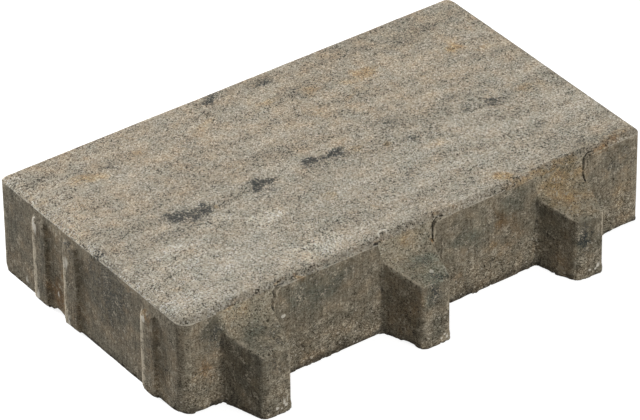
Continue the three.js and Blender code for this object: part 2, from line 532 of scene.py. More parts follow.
def faces_down(normals):
    """1 on the underside, and 0 where the skin looks sideways or up."""
    return ease(-normals[:, 2], 0.5, 0.9)


def torn_share(points, normals):
    """1 on the scooped walls and on the shelves of the lugs, where the concrete tore, and 0 elsewhere."""
    _, out, _ = lug_frame(points)
    walls = scoop_share(points) * ease(points[:, 2], SCOOP_FOOT - 8, SCOOP_FOOT - 4)
    shelves = ease(out, 0, 2) * ease(normals[:, 2], 0.3, 0.7)
    return np.maximum(walls, shelves) * (out > -NEAR_SIDE)


def panel_edge(points, inset, width):
    """1 on a line that runs this far inside the edge of the smooth panel right of each lug."""
    along, out, _ = lug_frame(points)
    beside_scoop = (points[:, 2] > PANEL_FOOT) * (along > 0) * (along < PANEL_WIDTH)
    return bell(past_panel(points) + inset, width) * beside_scoop * (np.abs(out) < NEAR_SIDE)


height = points[:, 2]
along, out, which = lug_frame(points)
facing = ease(height, burr_height - 0.3, burr_height + 0.3)
underside = faces_down(normals)
scooped = torn_share(points, normals)
side = (1 - facing) * (1 - underside) * (1 - scooped)
bottom_rim = ease(height, 2.6, 0.6)
top_rim = ease(within_outline(points), CHAMFER_WIDTH + 1.5, CHAMFER_WIDTH - 1) * facing
for name, share in {"facing": facing, "underside": underside, "torn": scooped, "side": side}.items():
    print(f"{name}: {share.mean():.2f} of the points")

# %% [markdown]
# Some marks have their own place: a bit that broke out, a knocked corner, a crack. They are listed with
# where they are and how deep they go.

# %% Breakouts
# Each row is a place, the reach along x, y and z, and the depth. A negative depth stands proud.
BREAKOUTS = [
    (49.5, -4.6, 44.1, 1.5, 1.5, 2, 1.2),
    (45.7, -8.5, 43.3, 1.2, 1.2, 2, 0.8),
    (35.5, -24.8, 40, 1.5, 1.4, 1.6, 1),
    (38.6, -25.2, 40, 1.4, 1.3, 1.6, 0.9),
    (0, 170, 0, 3, 4, 4.5, 1.4),
    (108, 0, 0, 12, 3, 2, 0.8),
    (233, -13, 1.5, 4, 7, 3.5, -1.1),
    (187, 0, 0.8, 3.5, 3, 2, -0.9),
    (63, 0, 38.5, 2, 2, 2, -0.4),
]


def breakout_depth(place):
    """How deep the listed breakouts go at each place."""
    total = np.zeros(len(place))
    for row in BREAKOUTS:
        total += row[6] * ease(egg_distance(place, row), 1.1, 0.2)
    return total


from_corner = points - near_corner
print("deepest breakout, in mm:", breakout_depth(from_corner).max().round(2))

# %% Cracks and a curl of paste
# Each line runs through its points, from x, y and z to the next.
CRACKS = [
    [(151.2, -21.4, 40.9), (150.6, -24, 40.4), (149.4, -26.4, 39.6)],
    [
        (261, 0, 55.5), (261.4, 0, 56.9), (262.7, 0, 57.5), (264.4, 0, 56.9), (265.3, 0, 55.4),
        (264.2, 0, 54.5),
    ],
]
# A paper-thin curl of paste beside the middle lug, the shade inside it, and the pale crest of that lug.
CURLS = [[(126.8, 2, 59.4), (127.6, 5, 60), (130.5, 6.8, 60), (133, 5.6, 60), (132.2, 3.2, 60)]]
CURL_SHADE = [[(128.4, 2.4, 60), (128.8, 4.6, 60), (130.5, 5.2, 60), (131.5, 4.2, 60), (130.4, 3.2, 60)]]
CRESTS = [[(153.4, -16.5, 41.7), (152.4, -20, 41), (151.6, -22.5, 40.5)]]
CRACK_WIDTH, CURL_WIDTH, CURL_SHADE_WIDTH, CREST_WIDTH = 1.6, 2.2, 1.6, 1.2
CRACK_DEPTH, CURL_PROUD = 0.8, 0.35


def line_share(place, lines, width):
    """1 in the middle of the listed lines, and 0 away from them."""
    nearest = np.full(len(place), np.inf)
    for line in lines:
        for start, end in zip(np.array(line[:-1]), np.array(line[1:])):
            run = end - start
            part = np.clip((place - start) @ run / (run @ run), 0, 1)
            nearest = np.minimum(nearest, np.linalg.norm(place - start - part[:, None] * run, axis=1))
    return ease(nearest, width / 2, 0)


print("cracks:", len(CRACKS))

# %% Slow swells and strewn pits
# How far each kind of wear goes into the stone, in mm.
SWELL, FACING_SWELL, TORN_SWELL, SIDE_STREAK = 0.14, 0.08, 0.2, 0.03
FACING_PIT, SIDE_PIT, TORN_PIT, RIM_PIT = 0.3, 0.3, 0.4, 0.6

depth = SWELL * soft_noise(points, lump=28, seed=10)
swells = FACING_SWELL * soft_noise(points, lump=7, seed=11)
pits = FACING_PIT * strewn_dents(points, spacing=6.5, size=1.5, share=0.55, seed=12)
depth += facing * (swells + pits)
depth += side * SIDE_STREAK * layered_noise(points, lump=[2.5, 2.5, 22], layers=2, seed=13)
depth += side * SIDE_PIT * strewn_dents(points, spacing=9, size=1.3, share=0.3, seed=14)
swells = TORN_SWELL * layered_noise(points, lump=4.5, layers=3, seed=15)
pits = TORN_PIT * strewn_dents(points, spacing=5, size=1.4, share=0.4, seed=16)
depth += scooped * (swells + pits)
depth += top_rim * RIM_PIT * strewn_dents(points, spacing=3.2, size=1, share=0.5, seed=19)
print("pits and swells reach this deep, in mm:", depth.max().round(2))

# %% Burr, grooves and broken edges
# How far each stands proud of the stone or goes into it, in mm.
BURR_PROUD, BURR_SPREAD, LEAST_BURR = 0.4, 0.4, 0.25
GROOVE_DEPTH = 1.3
PANEL_LIP, LIP_PROUD, LUG_FOOT_PROUD = 0.25, 0.4, 0.45
RAGGED, MORE_RAGGED = 3, 2

near_burr = bell(height - burr_height, BURR_SPREAD) * (1 - scooped)
near_burr *= LEAST_BURR + (1 - LEAST_BURR) * ease(normals[:, 0] + normals[:, 1], 0.3, -0.3)
depth -= near_burr * BURR_PROUD * (0.6 + 0.6 * layered_noise(points, lump=4, layers=2, seed=17))
depth += GROOVE_DEPTH * groove_share(points)
depth -= PANEL_LIP * panel_edge(points, inset=0.6, width=0.5)
on_lug_side = ease(np.abs(out), 6, 3)
crumbled = np.maximum(layered_noise(points, lump=3.4, layers=3, seed=18) - 0.02, 0)
depth += bottom_rim * ((RAGGED + MORE_RAGGED * on_lug_side) * crumbled - LIP_PROUD * on_lug_side)
depth += breakout_depth(from_corner)
depth += CRACK_DEPTH * line_share(from_corner, CRACKS, CRACK_WIDTH)
depth -= CURL_PROUD * line_share(from_corner, CURLS, CURL_WIDTH)
lug_foot = ease(out, LUG_REACH - 6, LUG_REACH - 2) * ease(height, 6, 2)
depth -= LUG_FOOT_PROUD * lug_foot * (0.8 + 0.8 * layered_noise(points, lump=3.4, layers=3, seed=20))
depth *= 1 - underside
points -= depth[:, None] * normals
points[:, 2] = np.maximum(points[:, 2], 0)
write_points(skin.data, points)
print("deepest mark, in mm:", depth.max().round(2))

# %% [markdown]
# ## Fewer triangles where nothing happens
#
# The even mesh spends as many triangles on the flat underside as on a chipped edge. Collapsing the edges
# that matter least keeps the detail and brings the skin under its budget.

# %% Thin out the skin
TRIANGLE_BUDGET = 195_000

apply_modifier(skin, "TRIANGULATE")
apply_modifier(skin, "DECIMATE", ratio=min(1, TRIANGLE_BUDGET / len(skin.data.polygons)))
skin.data.polygons.foreach_set("use_smooth", np.ones(len(skin.data.polygons), bool))
skin.data.update()
print("triangles in the finished skin:", len(skin.data.polygons))

# %% [markdown]
# ## Marks for the material
#
# The material has to know where it is on the stone. A painted image could tell it, but an image needs an
# unwrapped mesh and shows seams. Each mark here is a number that is stored at every point of the skin, and
# that the material reads by name: 0 for none, 1 for full, and up to 2 where no noise may thin it. The torn
# walls and the facing follow from the form. The stains are placed one by one, as clouds that the material
# breaks up into grains.

# %% A way to store marks
points = read_points(skin.data)
flat = np.empty(len(points) * 3)
skin.data.vertices.foreach_get("normal", flat)
normals = flat.reshape(-1, 3)
height = points[:, 2]
along, out, which = lug_frame(points)
from_corner = points - near_corner
MARKS = []
FULLEST = 2


def store_mark(name, values):
    """Keeps one number for each point of the skin, under a name that a material can read."""
    mark = skin.data.attributes.new(name, "FLOAT", "POINT")
    mark.data.foreach_set("value", np.clip(values, 0, FULLEST))
    MARKS.append(name)
    print(f"{name}: {np.mean(values):.3f} on average")


scooped = torn_share(points, normals) * (height < top - CHAMFER_DROP / 2)
store_mark("scooped", scooped)

# %% Open and closed skin
# The paste is closed over the grains high up on a side, and washed open low down.
CLOSED_ABOVE, OPEN_BELOW, OPEN_WANDER = 33, 13, 9
CLOSED_ON_FLANK, CLOSED_ON_END = 0.7, 0.75

rim_noise = layered_noise(points, lump=4, layers=3, seed=50)
ragged = layered_noise(points, lump=1.6, layers=2, seed=54)
wander = OPEN_WANDER * layered_noise(points, lump=[16, 16, 9], layers=3, seed=51)
open_skin = ease(height + wander, CLOSED_ABOVE, OPEN_BELOW)
flank = ease(out, 1, 5) * ease(np.abs(normals[:, 1]), 0.8, 0.5)
on_end = ease(-normals[:, 0], 0.5, 0.8) * ease(from_corner[:, 1], 8, 25)
store_mark("open", open_skin * (1 - CLOSED_ON_FLANK * flank) * (1 - CLOSED_ON_END * on_end))

# %% Painted shade in small voids
# Each row is a place and a radius.
SHADED_VOIDS = [
    (121.6, 0.6, 57.6, 0.7), (122.8, 0.8, 57.9, 0.8), (124, 0.7, 57.5, 1), (124.9, 0.9, 58.1, 0.8),
    (126.1, 1, 58.2, 0.9), (127.3, 1.1, 58.5, 0.8), (128.1, -0.4, 42.4, 1.2), (-1.5, 130, 45.5, 1.2),
    (-1.8, 128.5, 42, 1), (-1.5, 99.8, 42, 1), (264, 0, 58, 0.8),
]


def spots(rows):
    """1 in the middle of the listed spots, and 0 away from them."""
    cover = np.zeros(len(points))
    for x, y, z, radius in rows:
        away = np.linalg.norm(from_corner - [x, y, z], axis=1) / radius + 0.6 * ragged
        cover = np.maximum(cover, ease(away, 1.3, 0.5))
    return cover


print("dark spots:", len(SHADED_VOIDS))

# %% Darker along the bottom
BAND_ON_SIDE, BAND_ON_FLANK, BAND_ON_END, NO_BAND = 6, 5, 3.5, 0.1
BOTTOM_RIM_DARKNESS = 0.7

bottom_rim = ease(height + 5 * rim_noise, 3.2, 0.4) * ease(height, 5, 3)
patches = ease(layered_noise(points, lump=5, layers=3, seed=52), -0.1, 0.3)
bottom_rim *= BOTTOM_RIM_DARKNESS * ease(np.abs(out), 8, 3) * patches
between_ribs = on_end * ease(from_corner[:, 1], 34, 42) * ease(from_corner[:, 1], 98, 92)
on_side = ease(np.abs(out), 4, 2)
bands = [BAND_ON_SIDE * on_side, BAND_ON_FLANK * flank, BAND_ON_END * between_ribs, NO_BAND + 0 * height]
bottom_band = ease((height + 2 * rim_noise) / np.maximum.reduce(bands), 1, 0.4)
print(f"the dirty band at the bottom covers {bottom_band.mean():.2f} of the points")

# %% Painted shade in gaps, grooves, cracks and hollows, and dark specks along the rim
GROOVE_SHADE = np.array([0.7, 1.6, 1.3])

# Painted shade in the narrow gap just above the burr, in patches.
shade_above_burr = bell(height - burr_height - 1.2, 0.6) * (np.abs(out) < 5)
patches = ease(layered_noise(points, lump=[14, 14, 3], layers=3, seed=53), -0.1, 0.2)
shade_above_burr *= patches * (1 - scooped)
on_rim = ease(within_outline(points), CHAMFER_WIDTH + 1, CHAMFER_WIDTH - 1)
rim_specks = on_rim * ease(ragged, 0, 0.4) * (height > burr_height - 0.5)
# Painted shade in the crease where each lug's left flank meets the side.
lug_root_shade = ease(np.maximum(np.abs(past_flank(along, out)), np.abs(out)), 2.4, 0.8)
lug_root_shade *= (along < 0) * ease(height, 46, 40)
# Painted shade in the narrow grooves beside the scooped walls, stronger at some lugs.
groove_shade = GROOVE_SHADE[which] * ease(groove_share(points) * (1 + ragged), 0.1, 0.5)
# How dark each kind of dirt and painted shade is, and where it is.
dirt_and_painted_shade = [
    (0.3, shade_above_burr),
    (0.5, lug_root_shade * (0.8 + 0.8 * rim_noise)),
    # Painted shade inside the cracks, in the small voids and inside the curl of paste.
    (1.7, ease(line_share(from_corner, CRACKS, CRACK_WIDTH), 0.1, 0.6)),
    (1.5, spots(SHADED_VOIDS)),
    (0.4, line_share(from_corner, CURL_SHADE, CURL_SHADE_WIDTH)),
    (0.48, bottom_band),
    # Painted shade on the lowest two millimetres, where the edge turns under.
    (0.42, ease(height, 2, 0.3)),
    (0.36, rim_specks),
    # Painted shade in the hollows of the breakouts, darker where they go deeper.
    (0.8, np.maximum(breakout_depth(from_corner), 0) * (height > 3)),
]
store_mark("dirt_and_painted_shade", np.maximum.reduce([groove_shade, bottom_rim, *(dark * share for dark, share in dirt_and_painted_shade)]))

# %% Rubbed edges and painted highlights
SHELF_RIM_HIGHLIGHT = np.array([0.5, 0.5, 0.4])
RIB_HIGHLIGHT_TOP = np.array([52, 44, 52])

# Mostly painted highlight on the side of each rib that faces the raking lamp, partly rubbed wear; it wraps
# over the cap.
rib_out, rib_along, rib_which = rib_frame(points)
over_cap = np.maximum(height - 44, 0)
rib_shoulder = ease(rib_out, 0.2, 0.8) * ease(rib_along + 0.3 * over_cap, 1.8, 3.6)
rib_shoulder *= ease(height, RIB_HIGHLIGHT_TOP[rib_which], RIB_HIGHLIGHT_TOP[rib_which] - 5)
lug_edge = ease(out, LUG_REACH - 2.4, LUG_REACH - 1.2) * ease(along, 6.6, 7.6)
lug_edge *= ease(height, 22, 28) * (which == 2)
# Painted highlight along the left edge of each lug's shelf.
off_edge = np.maximum(np.abs(past_flank(along, out)), np.abs(height - shelf_height(along, out, which)))
shelf_rim = ease(off_edge, 1.2, 0.4) * (along < 0) * ease(out, 0, 3)
# How bright each painted highlight and rubbed edge is, and where it is.
rubbed_and_highlit = [
    # Painted highlight along the raised lip of each smooth panel.
    (0.7, panel_edge(points, inset=0.5, width=0.4)),
    (0.75 + 0.7 * rim_noise, rib_shoulder),
    (1.1, lug_edge),
    (SHELF_RIM_HIGHLIGHT[which], shelf_rim),
]
store_mark("rubbed_and_highlit", np.maximum.reduce([strong * share for strong, share in rubbed_and_highlit]))

# %% Pale chips
# Each row is a place and a radius.
CHIPS = [
    (145.5, -17.4, 41.6, 1.2), (62.8, 0, 38.3, 1.2), (60.5, 0, 33.9, 0.9), (40, -26.5, 4.2, 1),
    (40.8, -26.5, 6.2, 0.7), (42.6, -26.5, 3.6, 0.7), (44.2, -26.5, 6.6, 0.9), (45.4, -26.5, 5, 0.8),
    (46.2, -26.5, 8, 0.6), (147, -26.5, 7.6, 0.8), (149, -26.5, 3.4, 0.9), (147.6, -26.5, 5.4, 0.6),
    (145.4, -26.5, 3.6, 0.8), (245.2, -26.5, 5, 0.8), (247, -26.5, 6.8, 0.6),
    (248.6, -26.5, 4.4, 0.7), (250.4, -26.5, 6, 0.9), (0, 146.8, 4.6, 1.5), (0, 116.4, 12.6, 1.2),
    (-1.5, 33, 45.8, 1.8), (-0.5, 134.8, 51, 1.7), (-1.5, 134, 47.5, 2.2), (-1.8, 104.5, 41, 2.2),
    (-1, 106, 38.5, 1.6), (-1.8, 103.5, 2, 1.2), (-1.8, 133.5, 2.5, 1.4),
]

# How pale each kind of chip is, and where it is.
chipped = [
    (1.5, spots(CHIPS)),
    (1.2, line_share(from_corner, CURLS, CURL_WIDTH)),
    (0.7, line_share(from_corner, CRESTS, CREST_WIDTH)),
]
store_mark("chipped", np.maximum.reduce([pale * share for pale, share in chipped]))
# Where the burr's painted highlight shows: not on the scooped walls, and broken up by noise.
store_mark("burr", (1 - scooped) * ease(rim_noise, -0.5, 0.1))

# %% Clouds of pigment
# Each row is a place, how far the cloud reaches along x, y and z, and its strength.
CLOUD_WANDER, CLOUD_RIM, CLOUD_CORE = 7, 1.35, 0.2
FACE_HEIGHT, INTO_FACE = 60, 9


def clouds(rows, seed):
    """How strongly a list of clouds covers each point. Their outlines wander, so that none is an oval."""
    wander = np.stack([layered_noise(points, 10, 4, seed + axis) for axis in range(3)], axis=1)
    place = from_corner + CLOUD_WANDER * wander
    cover = np.zeros(len(points))
    for row in rows:
        cover = np.maximum(cover, row[6] * ease(egg_distance(place, row), CLOUD_RIM, CLOUD_CORE))
    return cover


def on_face(rows):
    """Clouds on the walking face, from rows of x, y, the reach along x and y, and the strength."""
    return [(x, y, FACE_HEIGHT, along_x, along_y, INTO_FACE, much) for x, y, along_x, along_y, much in rows]


# %% Anthracite clouds
# Black pigment in a few dense cores on the walking face, with a thin veil round them and on the lugs.
ANTHRACITE_ON_FACE = [
    (53, 80, 7, 6, 1.1), (60, 78, 7, 4, 1.1), (66, 75, 6, 4, 1.15), (72, 80, 4, 5, 1),
    (60, 83, 18, 7, 0.5), (104, 80, 7, 7, 1.5), (111, 78, 7, 5, 1.2), (118, 80, 5, 2, 0.7),
    (105, 70, 14, 3, 0.5), (141, 80, 8, 5, 1.4), (152, 80, 8, 5, 1.4), (148, 71, 7, 4, 0.5),
    (193, 88, 10, 6, 0.55), (196, 69, 7, 3, 0.75), (240, 70, 10, 4, 0.7), (254, 69, 6, 4, 0.85),
    (236, 86, 6, 4, 0.5), (292, 70, 4, 2, 0.6), (131, 163, 9, 4, 1.1), (163, 159, 15, 5, 0.9),
    (1, 78, 4, 7, 0.9), (37, 70, 38, 3, 0.4), (262, 35, 5, 4, 0.6), (175, 37, 8, 9, 0.35),
    (135, 19, 8, 5, 0.35), (158, 20, 6, 4, 0.35), (195, 15, 4, 3, 0.5), (268, 10, 7, 3, 0.5),
    (238, 110, 6, 4, 0.45), (51, 139, 3, 3, 0.6), (30, 129, 3, 3, 0.5), (97, 133, 5, 13, 0.25),
]
ANTHRACITE_ELSEWHERE = [
    (-2, 103, 49, 8, 5, 6, 0.55), (19, 2, 47, 9, 6, 13, 0.7), (90, -2, 46, 34, 12, 15, 0.25),
    (188, -2, 34, 22, 12, 11, 0.25), (212, -2, 46, 20, 12, 12, 0.2), (285, -2, 48, 14, 12, 13, 0.4),
    (0, 67, 40, 12, 26, 24, 0.6), (0, 158, 46, 12, 14, 16, 0.3), (46, -16, 42, 10, 8, 6, 0.5),
    (147, -21, 41, 8, 6, 6, 0.6), (139, -28, 32, 6, 7, 8, 0.95), (240, -27, 28, 7, 6, 10, 0.9),
    (36, -27, 34, 8, 6, 8, 0.5), (146, -9, 43, 10, 6, 6, 0.4), (244, -27, 28.5, 3, 4, 5, 1.3),
    (238, -27, 24, 3, 4, 5, 1), (49.5, 0, 40, 6, 4, 4, 0.7),
]
store_mark("anthracite", clouds(on_face(ANTHRACITE_ON_FACE) + ANTHRACITE_ELSEWHERE, seed=30))

# %% Ochre clouds
# Yellow pigment in loose patches.
OCHRE_ON_FACE = [
    (36, 138, 15, 7, 0.75), (69, 143, 8, 4, 0.6), (118, 145, 11, 7, 0.6), (151, 140, 13, 6, 0.7),
    (180, 135, 12, 6, 0.7), (212, 133, 18, 7, 0.85), (174, 119, 10, 6, 0.65), (200, 120, 14, 5, 0.5),
    (268, 123, 8, 6, 1), (284, 115, 9, 6, 0.7), (18, 120, 8, 6, 0.5), (4, 136, 7, 6, 0.6),
    (165, 75, 6, 6, 0.7), (181, 71, 6, 3, 1.1), (128, 50, 6, 6, 0.75), (278, 68, 9, 6, 0.7),
    (203, 55, 10, 6, 0.45), (172, 56, 3, 3, 0.6), (143, 25, 3, 3, 0.6), (18, 28, 6, 4, 0.6),
    (10, 58, 7, 4, 0.5), (77, 80, 3, 3, 0.7), (213, 6, 8, 6, 1.1), (105, 97, 6, 4, 0.5),
]
OCHRE_ELSEWHERE = [
    (29, -14, 20, 8, 14, 30, 0.45), (132, -14, 20, 8, 14, 30, 0.5), (234, -14, 20, 8, 14, 30, 0.45),
    (0, 99, 22, 4, 6, 30, 0.5), (0, 27, 22, 4, 5, 30, 0.4), (250, -1, 58.6, 60, 6, 2.5, 0.9),
    (287, 0, 24, 12, 10, 14, 0.6), (245, -6, 48, 20, 24, 12, 0.9), (-2, 33, 46, 4, 4, 4, 1.9),
    (0, 112, 21, 8, 8, 16, 0.6), (143, 0, 54, 18, 8, 8, 0.4), (12, 0, 22, 16, 10, 20, 0.35),
    (0, 12, 30, 10, 16, 24, 0.35), (36, 0, 52, 14, 8, 8, 0.4), (141, 0, 50, 8, 6, 6, 0.7),
    (92, 0, 12, 36, 10, 14, 0.3), (205, 0, 16, 30, 10, 16, 0.35), (200, 0, 24, 7, 6, 5, 0.8),
]
store_mark("ochre", clouds(on_face(OCHRE_ON_FACE) + OCHRE_ELSEWHERE, seed=130))

# %% Rust clouds
# Brown pigment, most of it low on the sides and along the edges.
RUST_CLOUDS = [
    (131, -8, 6, 5, 8, 8, 0.6), (90, 0, 58.6, 130, 2.8, 2, 0.8), (204, 0, 38, 7, 6, 9, 1),
    (212, 0, 34, 12, 8, 16, 0.6), (175, 0, 14, 8, 6, 8, 0.7), (280, 2, 60, 24, 6, 4, 0.8),
    (0, 117, 12, 12, 11, 14, 1), (0, 98, 10, 12, 9, 12, 0.5), (0, 160, 12, 12, 10, 14, 0.5),
    (-1, 130, 45, 5, 5, 9, 1.1), (-1, 29, 45, 5, 4, 7, 1.1), (157.6, 0, 47.5, 2, 3, 3, 1),
    (262.5, -1, 38, 2, 4, 3, 0.8), (0, 15, 12, 10, 14, 12, 0.4), (290, 0, 6, 10, 8, 9, 0.6),
    (14, 0, 26, 12, 8, 12, 0.6), (-1, 62, 18, 4, 30, 16, 0.45), (-1, 112, 30, 4, 7, 16, 0.5),
    (157.6, 0, 46, 1.5, 3, 3, 1.4), (92, -1, 4, 36, 8, 6, 0.4), (195, -1, 4, 36, 8, 6, 0.4),
]
store_mark("rust", clouds(RUST_CLOUDS, seed=230))

# %% Grimy clouds
# Years of soil and algae, which darken and grey the stone.
GRIME_ON_FACE = [
    (265, 152, 70, 26, 0.75), (180, 150, 60, 30, 0.45), (292, 100, 14, 22, 0.5),
    (150, 164, 44, 7, 0.7), (245, 164, 60, 7, 0.7), (262, 40, 26, 26, 0.4),
]
GRIME_ELSEWHERE = [
    (120, -1, 58.8, 140, 3, 2.4, 0.6), (268, 5, 60, 40, 7, 3, 1), (29, -16, 25, 8, 18, 28, 1),
    (40, -14, 42, 18, 16, 6, 1.05), (146, -14, 42, 13, 15, 7, 0.5), (84, -2, 45, 28, 10, 16, 0.8),
    (182, -2, 38, 20, 10, 11, 0.8), (210, -2, 46, 18, 10, 12, 0.9), (143, -31, 20, 11, 12, 26, 0.9),
    (230, -10, 34, 9, 16, 20, 1), (140, -27, 28, 6, 6, 34, 0.5), (243, -27, 28, 14, 6, 34, 0.9),
    (245, 0, 52, 18, 12, 12, 0.9), (19, 0, 48, 9, 8, 10, 1.2), (-1, 126, 28, 4, 6, 30, 0.8),
    (-2, 158, 30, 8, 12, 24, 0.8), (0, 66, 38, 4, 26, 22, 0.7), (0, 22, 40, 4, 8, 20, 0.4),
    (-1, 11, 28, 6, 5, 12, 0.7),
]
store_mark("grime", clouds(on_face(GRIME_ON_FACE) + GRIME_ELSEWHERE, seed=430))

# %% Cool clouds
# A bluish veil where the cement paste shows without pigment.
COOL_CLOUDS = [
    (147, -20, 41, 10, 10, 8, 1.2), (145, -8, 43, 12, 7, 8, 1), (84, -2, 46, 26, 10, 14, 0.8),
    (182, -2, 38, 20, 10, 11, 0.8), (212, -2, 48, 14, 10, 10, 0.7), (42, -10, 43, 14, 12, 7, 0.4),
    (139, -28, 32, 6, 8, 8, 0.8), (240, -27, 26, 8, 8, 8, 0.6),
]
store_mark("cool", clouds(COOL_CLOUDS, seed=530))

# %% Pale clouds
# Paste that was rubbed or that bloomed with lime, and painted light on the ribbed end's chamfer.
PALE_ON_FACE = [
    (30, 26, 120, 50, 0.75), (0, 110, 30, 70, 0.6), (200, 36, 90, 36, 0.5), (91, 53, 12, 10, 2),
    (70, 64, 16, 6, 1.3), (32, 50, 26, 14, 1.3), (95, 15, 26, 11, 2), (291, 44, 8, 16, 0.7),
    (240, 26, 16, 12, 0.8), (150, 140, 14, 8, 0.7),
]
# The rows along the ribbed end's chamfer, 58.6 and 59 mm high, are painted light that makes that chamfer as
# bright as the walking face.
PALE_ELSEWHERE = [
    (0, 98, 24, 3, 5, 34, 0.9), (0, 26, 24, 3, 5, 34, 0.6), (0, 85, 58.6, 5, 100, 4, 1.6),
    (287, 0, 26, 18, 8, 34, 0.8), (190, 0, 30, 28, 8, 34, 0.4), (2, 2, 30, 16, 16, 34, 0.6),
    (129, -8, 43, 5, 8, 5, 0.8), (34, -27, 24, 16, 6, 24, 0.4), (0, 160, 59, 8, 16, 6, 1.6),
    (182, 0, 20, 9, 10, 7, 0.8),
]
store_mark("pale", clouds(on_face(PALE_ON_FACE) + PALE_ELSEWHERE, seed=330))

# %% Where the facing is warmer
WARM_FROM, WARM_TO, WARM_WANDER = 60, 105, 22

warm_edge = from_corner[:, 1] + WARM_WANDER * layered_noise(points, lump=[40, 14, 40], layers=3, seed=60)
on_face_warmth = ease(warm_edge, WARM_FROM, WARM_TO)
store_mark("warm", np.where(height > burr_height, on_face_warmth, 0.5))

# %% [markdown]
# ## Concrete
#
# Concrete is sand and small stones in a grey cement paste. Iron oxide in the sand warms it, and each stone
# of a batch gets clouds of ochre and of anthracite pigment. The facing is a fine mix with a matt, open
# surface, so it looks like sandpaper: light grains, dark pores, and a strong texture about a millimetre
# wide. The sides were rubbed by the mould, so the paste lies closed over the grains, darker and smoother.
# All of it is worked out from noise in millimetres, so the grain runs round every edge without a seam.

# %% From hex colours to linear light
def to_linear(hex_colour):
    """An sRGB colour such as "#9d9586" as the linear red, green, blue and alpha that Blender wants."""
    parts = [int(hex_colour[i : i + 2], 16) / 255 for i in (1, 3, 5)]
    linear = [c / 12.92 if c <= 0.04045 else ((c + 0.055) / 1.055) ** 2.4 for c in parts]
    return (*linear, 1)


print("a mid grey is", [round(c, 3) for c in to_linear("#808080")])

# %% A material that knows its place in millimetres
def add_node(tree, kind, sockets=None, stops=None, **settings):
    """Adds a node whose `sockets`, by name or number, get a value, a node or an output.

    `stops` gives the places and colours of a ramp."""
    node = tree.nodes.new("ShaderNode" + kind)
    if stops:
        ramp = node.color_ramp.elements
        for position in list(stops)[1:-1]:
            ramp.new(position)
        for stop, (position, hex_colour) in zip(ramp, stops.items()):
            stop.position = position
            stop.color = to_linear(hex_colour)
    for name, value in settings.items():
        setattr(node, name, value)
    for key, value in (sockets or {}).items():
        named = [socket for socket in node.inputs if socket.enabled and socket.name == key]
        socket = named[0] if named else node.inputs[key]
        if isinstance(value, bpy.types.Node):
            value = next(output for output in value.outputs if output.enabled)
        if isinstance(value, bpy.types.NodeSocket):
            tree.links.new(value, socket)
        else:
            socket.default_value = value
    return node


concrete = bpy.data.materials.new("pressed_concrete")
concrete.use_nodes = True
tree = concrete.node_tree
tree.nodes.clear()
metres = add_node(tree, "TexCoord").outputs["Object"]
place = add_node(tree, "VectorMath", {0: metres, "Scale": 1 / MM}, operation="SCALE")
mark = {name: add_node(tree, "Attribute", attribute_name=name).outputs["Fac"] for name in MARKS}
print("the concrete reads these marks:", ", ".join(MARKS))

# %% Sand and streaks
# Sand runs from dust to 2 mm. Its fine grains are drawn 0.6 mm wide, as coarse as they need to be to show.
SAND_GRAIN, COARSE_GRAIN, BLOTCH = 0.6, 2, 9
STREAK, FACING_CLOUD, STAIN_CLOUD = (1.2, 1.2, 22), (38, 9, 14), (14, 7, 11)

sand = add_node(tree, "TexVoronoi", {"Vector": place, "Scale": 1 / SAND_GRAIN})
sand_random = add_node(tree, "SeparateColor", {"Color": sand.outputs["Color"]})
sand_shade, sand_tint = sand_random.outputs["Red"], sand_random.outputs["Green"]
coarse = add_node(tree, "TexNoise", {"Vector": place, "Scale": 1 / COARSE_GRAIN, "Detail": 3})
blotch = add_node(tree, "TexNoise", {"Vector": place, "Scale": 1 / BLOTCH, "Detail": 4, "Roughness": 0.55})
stretched = []
for size, detail in ((STREAK, 2), (FACING_CLOUD, 5), (STAIN_CLOUD, 3)):
    squeezed = add_node(tree, "VectorMath", {0: place, 1: size}, operation="DIVIDE")
    stretched.append(add_node(tree, "TexNoise", {"Vector": squeezed, "Scale": 1, "Detail": detail}))
streaks, cloud, stain = stretched
print("nodes so far:", len(tree.nodes))

# %% Pores and quartz grains
# Sizes are shares of the spacing. Only cells whose random number is over PORE_FROM hold a pore.
PORE_SPACING, PORE_FROM, WIDEST_PORE, PORE_EDGE = 2.6, 0.45, 0.28, 0.12
QUARTZ_SPACING, QUARTZ_RIM, QUARTZ_CORE = 4.4, 0.16, 0.1
PORE_COVER, QUARTZ_COVER, QUARTZ_UNDER_PASTE = 0.7, 0.55, 0.3

pores = add_node(tree, "TexVoronoi", {"Vector": place, "Scale": 1 / PORE_SPACING})
pore_random = add_node(tree, "SeparateColor", {"Color": pores.outputs["Color"]})
pore_range = {"Value": pore_random, "From Min": PORE_FROM, "To Max": WIDEST_PORE}
pore_size = add_node(tree, "MapRange", pore_range)
pore_rim = add_node(tree, "Math", {0: pore_size, 1: pores}, operation="SUBTRACT")
hole_range = {"Value": pore_rim, "From Max": PORE_EDGE}
pore_hole = add_node(tree, "MapRange", hole_range, interpolation_type="SMOOTHSTEP")
quartz = add_node(tree, "TexVoronoi", {"Vector": place, "Scale": 1 / QUARTZ_SPACING})
grain_range = {"Value": quartz, "From Min": QUARTZ_RIM, "From Max": QUARTZ_CORE, "To Max": QUARTZ_COVER}
quartz_grain = add_node(tree, "MapRange", grain_range, interpolation_type="SMOOTHSTEP")
print("nodes so far:", len(tree.nodes))

# %% Values that swing round a half
def blend_values(parts):
    """A weighted sum of values that each swing round a half, itself swinging round a half."""
    total = 0.5
    for value, weight in parts:
        swing = add_node(tree, "Math", {0: value, 1: 0.5}, operation="SUBTRACT")
        total = add_node(tree, "Math", {0: swing, 1: weight, 2: total}, operation="MULTIPLY_ADD")
    return total


